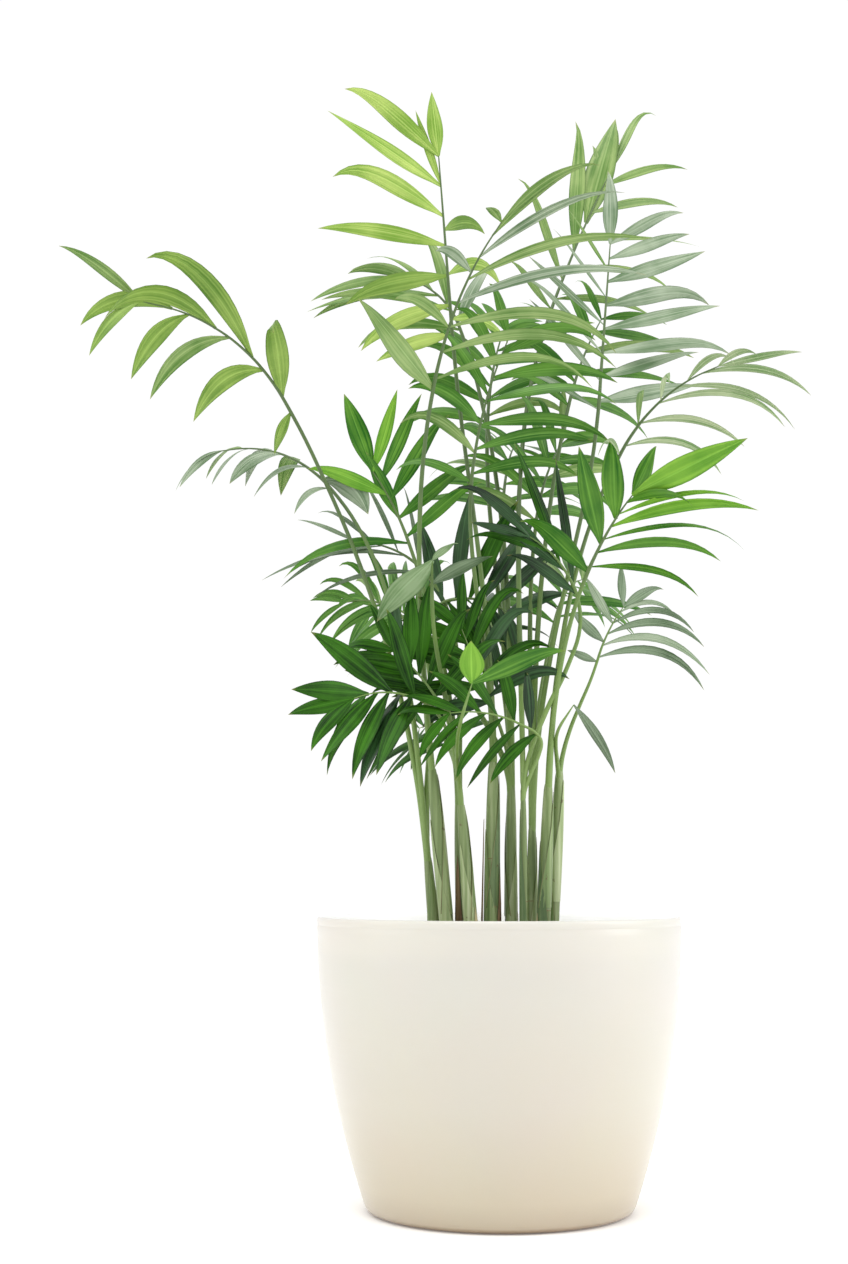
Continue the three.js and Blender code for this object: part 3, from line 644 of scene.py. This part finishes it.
# Stalks and ribs: each frond leaves its cane by a round green stalk, a little flattened and grooved
# on top, that runs on past the collar as the rib between the leaflets and thins to a thread.
# cane, height at which the stalk leaves it, collar, rib's end, arch, leaf tone; then the left and the
# right row: leaflets, turn, first and last spread, first and last length, droop, width. Millimetres
# and degrees.
FRONDS = {
    "far_left": ("a", 225, (-146, -5, 552), (-247, -55, 618), 18, "bright",
                 (5, 10, 45, 36, 64, 58, 2.3, 13), (5, 15, 28, -4, 84, 56, 0.9, 14)),
    "low_left": ("a", 235, (-118, 12, 500), (-200, 40, 534), 12, "silver",
                 (5, 60, 55, 20, 42, 36, 2.6, 13), (5, -60, 55, 15, 42, 38, 2.6, 13)),
    "top_left": ("e", 290, (-31, 0, 610), (-41, -30, 732), 0, "sunlit",
                 (7, 15, 100, 50, 64, 75, 0.5, 13), (5, -52, 78, 60, 60, 52, 0.9, 11)),
    "right": ("i", 270, (88, 0, 522), (153, -40, 576), 10, "faded",
              (5, 40, 60, 20, 50, 44, 1.3, 6), (6, -15, 56, 4, 70, 74, 1.25, 5.8)),
    "top_back": ("g", 270, (45, 70, 650), (95, 98, 771), 2, "light",
                 (6, 15, 60, 12, 50, 36, 0.0, 8), (6, -15, 52, 38, 80, 76, 0.5, 7.5)),
    "top_right": ("h", 255, (75, 20, 560), (88, 48, 694), 0, "silver",
                  (7, 25, 62, 42, 76, 48, 0.2, 5.5), (8, -15, 70, 48, 86, 68, 0.1, 12)),
    "front": ("b", 290, (-45, -40, 560), (0, -110, 655), 12, "light",
              (4, 50, 58, 50, 70, 42, 0.9, 9), (8, -5, 66, 8, 118, 98, 0.8, 8)),
    "low_right": ("j", 290, (70, 0, 374), (90, 6, 414), 2, "grey",
                  (4, 0, 80, 37, 24, 33, 0.0, 8), (6, 0, 62, 18, 92, 34, 1.4, 6)),
    "right_front": ("i", 285, (60, -50, 430), (86, -95, 474), 3, "vivid",
                    (4, -10, 69, 20, 66, 46, 0.1, 18), (7, 0, 66, 14, 80, 84, 0.6, 7)),
    "low_left_front": ("d", 270, (-52, -35, 343), (-98, -68, 342), 5, "dark",
                       (7, 20, 66, 24, 66, 58, 0.5, 13), (4, 0, 56, 10, 66, 50, 0.0, 15)),
    "back_left": ("f", 280, (-24, 50, 628), (-68, 60, 672), 8, "light",
                  (5, 0, 48, 20, 92, 70, 0.7, 10), (5, 0, 40, 10, 58, 42, 0.9, 9)),
    "left_upper": ("c", 278, (-62, 10, 460), (-88, 10, 512), 2, "vivid",
                   (4, 0, 60, 10, 66, 52, 0.1, 12), (5, 0, 72, 58, 62, 60, 0.1, 11)),
    "left_mid": ("c", 275, (-50, 20, 440), (-100, 28, 464), 6, "grey",
                 (4, 0, 34, 16, 88, 66, 0.8, 4.5), (4, 0, 44, 30, 54, 46, 0.3, 4.5)),
    "left_behind": ("a", 238, (-66, 40, 410), (-108, 55, 424), 6, "mid",
                    (6, 0, 40, 10, 50, 36, 1.3, 5.5), (6, 0, 50, 25, 44, 32, 0.8, 6)),
    "left_front": ("c", 270, (-46, -60, 410), (-46, -85, 432), 2, "pale",
                   (1, 10, 136, 136, 66, 66, 0.5, 26), (2, 0, 60, 30, 40, 30, 0.6, 12)),
    "young": ("d", 272, (-25, -80, 334), (-20, -88, 350), 0, "vivid",
              (1, 0, 16, 16, 30, 30, 0.0, 17), (1, 0, 66, 66, 62, 62, 0.1, 13)),
    "low_right_leaf": ("j", 285, (44, -14, 330), (52, -18, 342), 0, "grey",
                       None, (1, 0, 116, 116, 60, 60, 0.8, 9)),
    "low_base": ("g", 275, (26, -20, 322), (-34, -46, 334), 6, "dark",
                 (6, 0, 70, 30, 48, 40, 0.7, 9), (6, 0, 60, 20, 44, 38, 0.4, 9)),
    "centre": ("e", 300, (-18, -10, 500), (8, -25, 600), 5, "mid",
               (6, 10, 60, 40, 58, 42, 0.9, 10), (7, -10, 72, 45, 84, 64, 0.6, 11)),
    "centre_right": ("g", 278, (55, -15, 420), (22, -28, 458), 5, "deep",
                     (4, 0, 30, 12, 62, 44, 0.1, 9), (4, 0, 20, 12, 84, 60, 0.3, 8)),
    "upper_mid": ("h", 258, (55, 40, 568), (82, 62, 640), 3, "mid",
                  (5, 10, 60, 40, 58, 42, 0.7, 9), (5, -25, 66, 45, 84, 60, 0.5, 9)),
    "low_mid_front": ("d", 274, (-42, -22, 345), (-72, -32, 378), 2, "dark",
                      (5, 0, 44, 25, 52, 38, 0.2, 12), (6, 0, 72, 35, 60, 42, 0.0, 12)),
    "low_centre": ("f", 285, (-5, -5, 345), (-25, -15, 395), 0, "dark",
                   (6, 0, 66, 25, 58, 42, 0.5, 11), (6, 0, 76, 30, 58, 42, 0.7, 10)),
    "centre_dark": ("f", 280, (-38, 15, 418), (8, 20, 412), 6, "deep",
                    (6, 0, 80, 65, 68, 48, 0.0, 12), (6, 0, 70, 40, 62, 44, 0.9, 11)),
    "mid_back": ("h", 260, (30, 30, 480), (52, 45, 545), 4, "mid",
                 (6, 20, 60, 35, 60, 44, 0.7, 9), (6, -25, 60, 35, 62, 44, 0.7, 9)),
    "up_back": ("f", 288, (-4, 60, 560), (10, 90, 640), 6, "mid",
                (7, 0, 65, 35, 66, 48, 0.6, 9), (7, 0, 65, 35, 66, 48, 0.7, 9)),
    "rear_high": ("f", 289, (8, 85, 500), (20, 135, 560), 8, "mid",
                  (6, 0, 65, 35, 66, 48, 0.7, 10), (6, 0, 65, 35, 66, 48, 0.7, 10)),
    "rear_left": ("c", 276, (-50, 70, 400), (-90, 120, 430), 8, "mid",
                  (6, 0, 65, 35, 62, 46, 0.8, 10), (6, 0, 65, 35, 62, 46, 0.8, 10)),
    "rear_right": ("h", 261, (45, 65, 410), (70, 115, 450), 8, "mid",
                   (6, 0, 65, 35, 62, 46, 0.8, 10), (6, 0, 65, 35, 62, 46, 0.8, 10)),
    "rear_middle": ("f", 285, (0, 60, 400), (-10, 120, 430), 8, "dark",
                    (6, 0, 65, 35, 60, 44, 0.8, 10), (6, 0, 65, 35, 60, 44, 0.8, 10)),
    "rear_low": ("c", 272, (-35, 55, 320), (-55, 105, 335), 6, "dark",
                 (5, 0, 65, 35, 54, 40, 0.8, 10), (5, 0, 65, 35, 54, 40, 0.8, 10)),
}
# Leaflets that grew otherwise than the rest of their row, by frond, side and number from the collar:
# turn, spread, length, droop, width, and which of the frond's two tones.
ODD_LEAFLETS = {
    ("far_left", 1, 0): (15, 30, 70, 0.9, 17, 0),
    ("far_left", 1, 1): (15, 18, 118, 1.0, 15, 0),
    ("far_left", 1, 2): (15, 14, 100, 1.6, 14, 0),
    ("far_left", 1, 3): (15, 6, 76, 1.5, 12, 0),
    ("far_left", 1, 4): (15, 34, 68, 0.2, 8, 1),
    ("far_left", -1, 0): (10, 120, 34, 1.6, 8, 0),
    ("top_left", -1, 6): (15, 45, 85, 0.2, 13, 0),
    ("top_left", -1, 5): (15, 54, 96, 0.2, 13, 0),
    ("top_left", -1, 4): (15, 55, 93, 0.4, 13, 0),
    ("top_left", 1, 4): (0, -4, 46, 0.0, 12, 0),
    ("top_left", 1, 3): (0, -16, 56, 0.0, 6, 0),
    ("low_left", -1, 0): (60, 70, 46, 1.8, 7, 0),
    ("low_left", -1, 1): (60, 46, 52, 2.4, 14, 0),
    ("low_left", -1, 4): (40, 10, 44, 1.6, 8, 0),
    ("low_left", 1, 0): (0, 125, 46, 2.6, 18, 0),
    ("low_left", 1, 1): (-60, 42, 54, 2.8, 14, 1),
    ("low_left", 1, 4): (-40, 6, 50, 1.8, 7, 0),
    ("right", 1, 5): (-15, 9, 62, 0.05, 5.5, 0),
    ("top_back", -1, 1): (15, 42, 88, 0.0, 7, 0),
    ("top_back", -1, 2): (15, 19, 112, 0.0, 13, 0),
    ("top_back", -1, 3): (15, 7, 98, 0.0, 22, 0),
    ("top_back", 1, 5): (0, -2, 76, 0.0, 6.5, 0),
    ("top_right", -1, 6): (0, 2, 66, 0.0, 12, 0),
    ("front", -1, 0): (30, 53, 88, 0.0, 19, 0),
    ("left_upper", -1, 0): (0, 62, 96, 0.9, 8, 0),
    ("left_upper", -1, 1): (0, 2, 54, 0.0, 11, 0),
    ("left_upper", -1, 2): (0, 36, 60, 0.1, 11, 1),
    ("left_upper", -1, 3): (0, -15, 62, 0.0, 15, 0),
    ("low_right", 1, 5): (0, 18, 34, 0.1, 8, 0),
    ("young", -1, 0): (0, 16, 30, 0.0, 17, 1),
    ("young", 1, 0): (0, 47, 66, 0.0, 13, 0),
    ("right_front", 1, 3): (0, 34, 112, 0.62, 9.5, 1),
    ("right_front", 1, 4): (0, 26, 100, 0.6, 5, 1),
    ("right_front", 1, 5): (0, 24, 56, 0.9, 9, 0),
    ("right_front", 1, 6): (0, 20, 98, 0.05, 18, 1),
    ("right_front", -1, 1): (-10, 40, 68, 0.0, 16, 0),
}
UP = Vector((0, 0, 1))


class Rib:
    """The line of a frond's rib: one bend from the collar to the rib's end, arched upwards."""

    def __init__(self, collar, end, arch):
        self.start = Vector(collar) / 1000
        self.end = Vector(end) / 1000
        along = (self.end - self.start).normalized()
        rise = (UP - along * along.z).normalized()
        self.middle = self.start.lerp(self.end, 0.5) + rise * (2 * arch / 1000)

    def point(self, place):
        near = self.start.lerp(self.middle, place)
        return near.lerp(self.middle.lerp(self.end, place), place)

    def heading(self, place):
        near = self.middle - self.start
        return near.lerp(self.end - self.middle, place).normalized()


# The stalk's cross-section, drawn once: round below, with a shallow groove on top.
GROOVE = 0.80
bpy.ops.curve.primitive_bezier_circle_add(radius=1.0, location=(0, 0, -1))
section = bpy.context.object
section.name = "stalk_section"
section.data.resolution_u = 4
groove = max(section.data.splines[0].bezier_points, key=lambda point: point.co.y)
groove.co.y *= GROOVE
groove.handle_left.y *= GROOVE
groove.handle_right.y *= GROOVE

# The stalks' skin is light green low down and turns to olive as it runs up into the ribs.
stalk_green, nodes, links, shader = surface("stalk_green", 0.42)
where = nodes.new("ShaderNodeTexCoord")
bands = cloud(nodes, links, 22, 3, where.outputs["Object"])
age = nodes.new("ShaderNodeMath")
age.operation = "MULTIPLY_ADD"
age.inputs[1].default_value = 0.7
links.new(bands.outputs["Fac"], age.inputs[0])
links.new(climb(nodes, links, where, 0.28, 0.62), age.inputs[2])
stalk_tones = toned(
    nodes, links, age.outputs["Value"],
    (0.25, (126, 152, 84)), (0.55, (104, 134, 62)), (1.0, (74, 98, 50)),
)
links.new(stalk_tones.outputs["Color"], shader.inputs["Base Color"])
skin = cloud(nodes, links, 900, 2, where.outputs["Object"])
bumped(nodes, links, shader, skin.outputs["Fac"], 0.15, 0.0003)

# Where along the stalk and along the rib a point of the line is set, and the radius there in mm.
STALK_SPOTS = ((0.0, 2.8), (0.07, 2.6), (0.18, 2.25), (0.38, 1.95), (0.60, 1.7), (0.82, 1.5))
RIB_SPOTS = ((0.0, 1.4), (0.2, 1.2), (0.4, 1.0), (0.6, 0.85), (0.8, 0.65), (1.0, 0.45))
# How far a stalk keeps to its cane's line and to its rib's, as shares of the way between the two.
LEAVING = 0.4
MEETING = 0.3
# A stalk is no thicker than this share of its cane, and a short one is more slender than the rest.
SHARE_OF_CANE = 0.78
SHORT_STALK = 0.12
SLENDER = 0.8


def stalk_point(origin, leaving, rib, place):
    """A point of the stalk, which leaves in line with its cane and meets the rib in line with it."""
    reach = (rib.start - origin).length
    off_cane = origin + leaving * LEAVING * reach
    onto_rib = rib.start - rib.heading(0) * MEETING * reach
    corners = [origin, off_cane, onto_rib, rib.start]
    while len(corners) > 1:
        corners = [a.lerp(b, place) for a, b in zip(corners, corners[1:])]
    return corners[0]


ribs = {}
for name, (letter, fork, collar, end, arch, *_) in FRONDS.items():
    rib = ribs[name] = Rib(collar, end, arch)
    origin, thickness = cane_point(letter, fork / 1000)
    foot, top, _, _ = cane_line(letter)
    leaving = (top - foot).normalized()
    slender = SLENDER if (rib.start - origin).length < SHORT_STALK else 1.0
    thickest = 1000 * SHARE_OF_CANE * thickness
    spots = []
    for place, radius in STALK_SPOTS:
        spots.append((stalk_point(origin, leaving, rib, place), min(radius, thickest)))
    spots += [(rib.point(place), radius) for place, radius in RIB_SPOTS]
    bpy.ops.object.select_all(action="DESELECT")
    bpy.ops.curve.primitive_bezier_curve_add(location=(0, 0, 0))
    stalk = bpy.context.object
    stalk.name = f"stalk_and_rib_{name}"
    line = stalk.data.splines[0]
    line.bezier_points.add(len(spots) - len(line.bezier_points))
    for point, (place, radius) in zip(line.bezier_points, spots):
        point.handle_left_type = point.handle_right_type = "AUTO"
        point.co = place
        point.radius = radius * slender / 1000
    line.resolution_u = 5
    stalk.data.twist_mode = "Z_UP"
    stalk.data.bevel_mode = "OBJECT"
    stalk.data.bevel_object = section
    stalk.data.use_fill_caps = True
    bpy.ops.object.convert(target="MESH")
    bpy.ops.object.shade_smooth_by_angle(angle=math.radians(60))
    stalk.data.materials.clear()
    stalk.data.materials.append(stalk_green)
    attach(stalk, "root")
    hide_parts(f"stalk_{name}" if f"stalk_{name}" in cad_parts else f"frond_{name}")
bpy.data.objects.remove(section)


# Leaflets: two rows of thin blades along each rib, narrow at the foot, widest near the middle and
# drawn out to a fine tip that hangs. Their greens are partly their own, new ones yellowish, and
# partly painted light: painted shade makes fronds inside the crown deep green, painted sheen makes
# glossy ones pale.
# Segments along a blade, where along it the widest place is, and its thickness.
SEGMENTS = 13
WIDEST = 0.45
LEAF_THICKNESS = 0.00035
# How far the right row is set on from the left, in steps, and how much longer the middle leaflets are.
STAGGER = 0.35
FULLNESS = 1.2
# The droop of the first and the last leaflet of a row, as a share of the row's, how far blades bend
# towards the rib's end, and how far a tip can hang down more than its blade.
FIRST_DROOP = 1.15
LAST_DROOP = 0.8
FORWARD_BEND = 0.12
HOOK = 1.5
# How far leaflets stray from their row, and how much of that is left to those set one by one.
TURN_STRAY = 14
SPREAD_STRAY = 8
LENGTH_STRAY = (-0.10, 0.06)
WIDTH_STRAY = (-0.15, 0.10)
DROOP_STRAY = 0.2
ODD_STRAY = 0.3
# How deeply a blade folds at its midrib, how it is rolled from the rib on, and how it twists.
FOLD = (0.06, 0.30)
ROLL = 0.30
TWIST = 0.8
# The tones are partly the leaves' own greens and partly painted light: sunlit is painted lighter where
# light falls on the top left frond; the pale grey-green tones, silver, grey, pale and that of the right
# frond, are painted paler as a painted sheen on glossy blades; dark and deep are painted darker as
# painted shade inside the crown, and deep also carries a painted bluish sheen.
# Tones of the upper side, dark and light, then the skin's roughness and how much it shines.
LEAF_TONES = {
    "sunlit": ((124, 165, 58), (190, 212, 116), 0.44, 0.30),
    "bright": ((90, 132, 40), (150, 180, 86), 0.42, 0.30),
    "fresh": ((90, 150, 34), (136, 188, 62), 0.42, 0.30),
    "faded": ((116, 151, 92), (196, 207, 168), 0.42, 0.35),
    "light": ((82, 126, 46), (152, 177, 108), 0.40, 0.35),
    "silver": ((96, 125, 86), (172, 186, 160), 0.34, 0.45),
    "grey": ((64, 92, 56), (140, 160, 130), 0.34, 0.45),
    "mid": ((46, 104, 18), (102, 152, 58), 0.36, 0.30),
    "vivid": ((36, 100, 10), (100, 154, 48), 0.36, 0.30),
    "dark": ((4, 40, 1), (60, 117, 24), 0.36, 0.14),
    "deep": ((6, 34, 8), (58, 100, 52), 0.30, 0.40),
    "pale": ((74, 122, 50), (160, 184, 142), 0.28, 0.50),
}
# The other tone of a frond, by its first tone, and the share of its leaflets that have it.
NEIGHBOUR = {
    "sunlit": "bright", "bright": "light", "fresh": "vivid", "faded": "light", "light": "silver",
    "silver": "light", "grey": "silver", "mid": "light", "dark": "deep", "deep": "dark", "pale": "grey",
    "vivid": "fresh",
}
NEIGHBOUR_SHARE = 0.18


def leaf_surface(name, dark, light, roughness, shine):
    """Leaf skin: streaks of tone along the blade, a paler midrib, a dark margin, a dry tip."""
    material, nodes, links, shader = surface(name, roughness)
    shader.inputs["Specular IOR Level"].default_value = shine
    where = nodes.new("ShaderNodeTexCoord")
    patches = cloud(nodes, links, 30, 3, where.outputs["Object"])
    blade = nodes.new("ShaderNodeUVMap")
    blade.uv_map = "blade"
    drawn = nodes.new("ShaderNodeVectorMath")
    drawn.operation = "MULTIPLY"
    drawn.inputs[1].default_value = (8, 0.9, 0)
    links.new(blade.outputs["UV"], drawn.inputs[0])
    apart = nodes.new("ShaderNodeVectorMath")
    apart.operation = "MULTIPLY_ADD"
    apart.inputs[1].default_value = (9, 9, 9)
    links.new(where.outputs["Object"], apart.inputs[0])
    links.new(drawn.outputs["Vector"], apart.inputs[2])
    streaks = cloud(nodes, links, 1.0, 1.5, apart.outputs["Vector"])
    mixed = nodes.new("ShaderNodeMix")
    mixed.inputs["Factor"].default_value = 0.55
    links.new(patches.outputs["Fac"], mixed.inputs["A"])
    links.new(streaks.outputs["Fac"], mixed.inputs["B"])
    tones = toned(nodes, links, mixed.outputs["Result"], (0.38, dark), (0.62, light))
    along = nodes.new("ShaderNodeSeparateXYZ")
    links.new(blade.outputs["UV"], along.inputs["Vector"])
    from_middle = nodes.new("ShaderNodeMath")
    from_middle.operation = "SUBTRACT"
    from_middle.inputs[1].default_value = 0.5
    links.new(along.outputs["X"], from_middle.inputs[0])
    distance = nodes.new("ShaderNodeMath")
    distance.operation = "ABSOLUTE"
    links.new(from_middle.outputs["Value"], distance.inputs[0])
    painted = tones.outputs["Color"]
    # From where, to where and how strongly the midrib, the margin and the dry tip show.
    for source, begins, ends, strength, tone in (
        (distance.outputs["Value"], 0.05, 0.015, 0.30, [min(255, 24 + value * 1.1) for value in light]),
        (distance.outputs["Value"], 0.44, 0.5, 0.55, [value * 0.62 for value in dark]),
        (along.outputs["Y"], 0.93, 1.0, 0.60, [160, 150, 92]),
    ):
        here = nodes.new("ShaderNodeMapRange")
        here.inputs["From Min"].default_value = begins
        here.inputs["From Max"].default_value = ends
        here.inputs["To Max"].default_value = strength
        links.new(source, here.inputs["Value"])
        lined = nodes.new("ShaderNodeMix")
        lined.data_type = "RGBA"
        links.new(here.outputs["Result"], lined.inputs["Factor"])
        links.new(painted, lined.inputs["A"])
        lined.inputs["B"].default_value = shade(*tone)
        painted = lined.outputs["Result"]
    links.new(painted, shader.inputs["Base Color"])
    bumped(nodes, links, shader, streaks.outputs["Fac"], 0.08, 0.0003)
    # A fifth of the light goes through the blade.
    through = nodes.new("ShaderNodeBsdfTranslucent")
    links.new(painted, through.inputs["Color"])
    both = nodes.new("ShaderNodeMixShader")
    both.inputs["Fac"].default_value = 0.2
    links.new(shader.outputs["BSDF"], both.inputs[1])
    links.new(through.outputs["BSDF"], both.inputs[2])
    links.new(both.outputs["Shader"], nodes["Material Output"].inputs["Surface"])
    return material


leaf_skins = {tone: leaf_surface(f"leaf_{tone}", *values) for tone, values in LEAF_TONES.items()}


def half_width(share):
    """Half of a blade's width for a width of 1, from its foot, 0, to its tip, 1."""
    opening = math.sin(math.pi / 2 * min(1.0, share / WIDEST)) ** 0.85
    closing = max(0.0, (share - WIDEST) / (1 - WIDEST)) ** 1.8
    return 0.5 * max(0.16 * (1 - share), opening * (1 - closing))


def leaflet_line(name, values, side, i):
    """One leaflet's midrib, the rib's heading at its foot, which way it faces, and its width."""
    count, turn, spread, last_spread, first_length, last_length, droop, width = values
    shift = STAGGER if side > 0 and i < count - 1 else 0
    place = 1 if count == 1 else (i + shift) / (count - 1)
    spread += (last_spread - spread) * place
    length = (first_length + (last_length - first_length) * place) * (1 + FULLNESS * place * (1 - place))
    longest = max(first_length, last_length, (first_length + last_length) / 2 * (1 + FULLNESS / 4))
    droop *= FIRST_DROOP + (LAST_DROOP - FIRST_DROOP) * place
    width *= 0.5 + 0.5 * length / longest
    stray = 1.0
    if (name, side, i) in ODD_LEAFLETS:
        turn, spread, length, droop, width, _ = ODD_LEAFLETS[name, side, i]
        stray = ODD_STRAY
    rib = ribs[name]
    along = rib.heading(place)
    across = along.cross(Vector((0, -1, 0))).normalized()
    face = across.cross(along)
    turn = math.radians(turn + stray * dice.uniform(-TURN_STRAY, TURN_STRAY))
    angle = math.radians(spread + stray * dice.uniform(-SPREAD_STRAY, SPREAD_STRAY))
    outward = across * (side * math.cos(turn)) + face * math.sin(turn)
    start = along * math.cos(angle) + outward * math.sin(angle)
    whole = length / 1000 * (1 + stray * dice.uniform(*LENGTH_STRAY))
    wide = width / 1000 * (1 + stray * dice.uniform(*WIDTH_STRAY))
    sag = droop * (1 + stray * dice.uniform(-DROOP_STRAY, DROOP_STRAY))
    # Few tips have most of the hook, and most have little of it.
    hook = HOOK * dice.random() ** 1.5
    line = [rib.point(place)]
    for k in range(SEGMENTS):
        share = (k + 0.5) / SEGMENTS
        bend = share ** 1.3
        tip_fall = (outward * 0.3 - UP) * (hook * share ** 5)
        heading = (start - UP * (sag * bend) + along * (FORWARD_BEND * bend) + tip_fall).normalized()
        line.append(line[-1] + heading * (whole / SEGMENTS))
    return line, along, face, wide


def add_blade(points, faces, coords, sharp, line, along, face, width):
    """One closed blade, roofed along its midrib: each row has three points above and one below."""
    first = len(points)
    fold = dice.uniform(*FOLD)
    roll = dice.uniform(-ROLL, ROLL)
    twist = dice.uniform(-TWIST, TWIST)
    per_row = 4
    flat = along
    if along.cross(line[1] - line[0]).dot(UP + face * 0.5) < 0:
        flat = -along
    for k in range(SEGMENTS):
        ahead = (line[min(k + 1, SEGMENTS)] - line[max(k - 1, 0)]).normalized()
        flat = (flat - ahead * flat.dot(ahead)).normalized()
        share = k / SEGMENTS
        side_way = Quaternion(ahead, roll + twist * share) @ flat
        up_side = side_way.cross(ahead)
        half = width * half_width(share)
        drop = up_side * (half * fold)
        points.append(line[k] - side_way * half - drop)
        points.append(line[k])
        points.append(line[k] + side_way * half - drop)
        points.append(line[k] - up_side * (LEAF_THICKNESS * (1.2 - share)))
    tip = len(points)
    points.append(line[SEGMENTS])

    def add(*corners):
        faces.append(corners)
        for corner in corners:
            row, column = divmod(corner - first, per_row)
            across = 0.5 if corner == tip else (0.0, 0.5, 1.0, 0.5)[column]
            coords.append((across, row / SEGMENTS))

    # The faces above and below one another start at the same corner, so they never cross.
    for k in range(SEGMENTS - 1):
        left, middle, right, under = range(first + k * per_row, first + (k + 1) * per_row)
        add(left, middle, middle + per_row, left + per_row)
        add(middle, right, right + per_row, middle + per_row)
        add(left, left + per_row, under + per_row, under)
        add(under, under + per_row, right + per_row, right)
        sharp.add(frozenset((left, left + per_row)))
        sharp.add(frozenset((right, right + per_row)))
    left, middle, right, under = range(tip - per_row, tip)
    for corners in ((left, middle, tip), (middle, right, tip), (under, left, tip), (right, under, tip)):
        add(*corners)
    add(first + 2, first + 1, first, first + 3)
    for a, b in ((left, tip), (right, tip), (first, first + 1), (first + 1, first + 2)):
        sharp.add(frozenset((a, b)))


for name, (*_, tone, left, right) in FRONDS.items():
    points, faces, coords, sharp, skins = [], [], [], set(), []
    for values, side in ((left, -1), (right, 1)):
        for i in range(values[0] if values else 0):
            begun = len(faces)
            add_blade(points, faces, coords, sharp, *leaflet_line(name, values, side, i))
            skin = int(dice.random() < NEIGHBOUR_SHARE)
            if (name, side, i) in ODD_LEAFLETS:
                skin = ODD_LEAFLETS[name, side, i][-1]
            skins += [skin] * (len(faces) - begun)
    leaflets = built(f"leaflets_{name}", points, faces)
    mesh = leaflets.data
    mesh.materials.append(leaf_skins[tone])
    mesh.materials.append(leaf_skins[NEIGHBOUR[tone]])
    mesh.polygons.foreach_set("material_index", skins)
    mesh.polygons.foreach_set("use_smooth", [True] * len(faces))
    mesh.uv_layers.new(name="blade").data.foreach_set("uv", [value for pair in coords for value in pair])
    creases = mesh.attributes.new("sharp_edge", "BOOLEAN", "EDGE")
    creases.data.foreach_set("value", [frozenset(edge.vertices) in sharp for edge in mesh.edges])
    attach(leaflets, "root")
    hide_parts(f"frond_{name}")
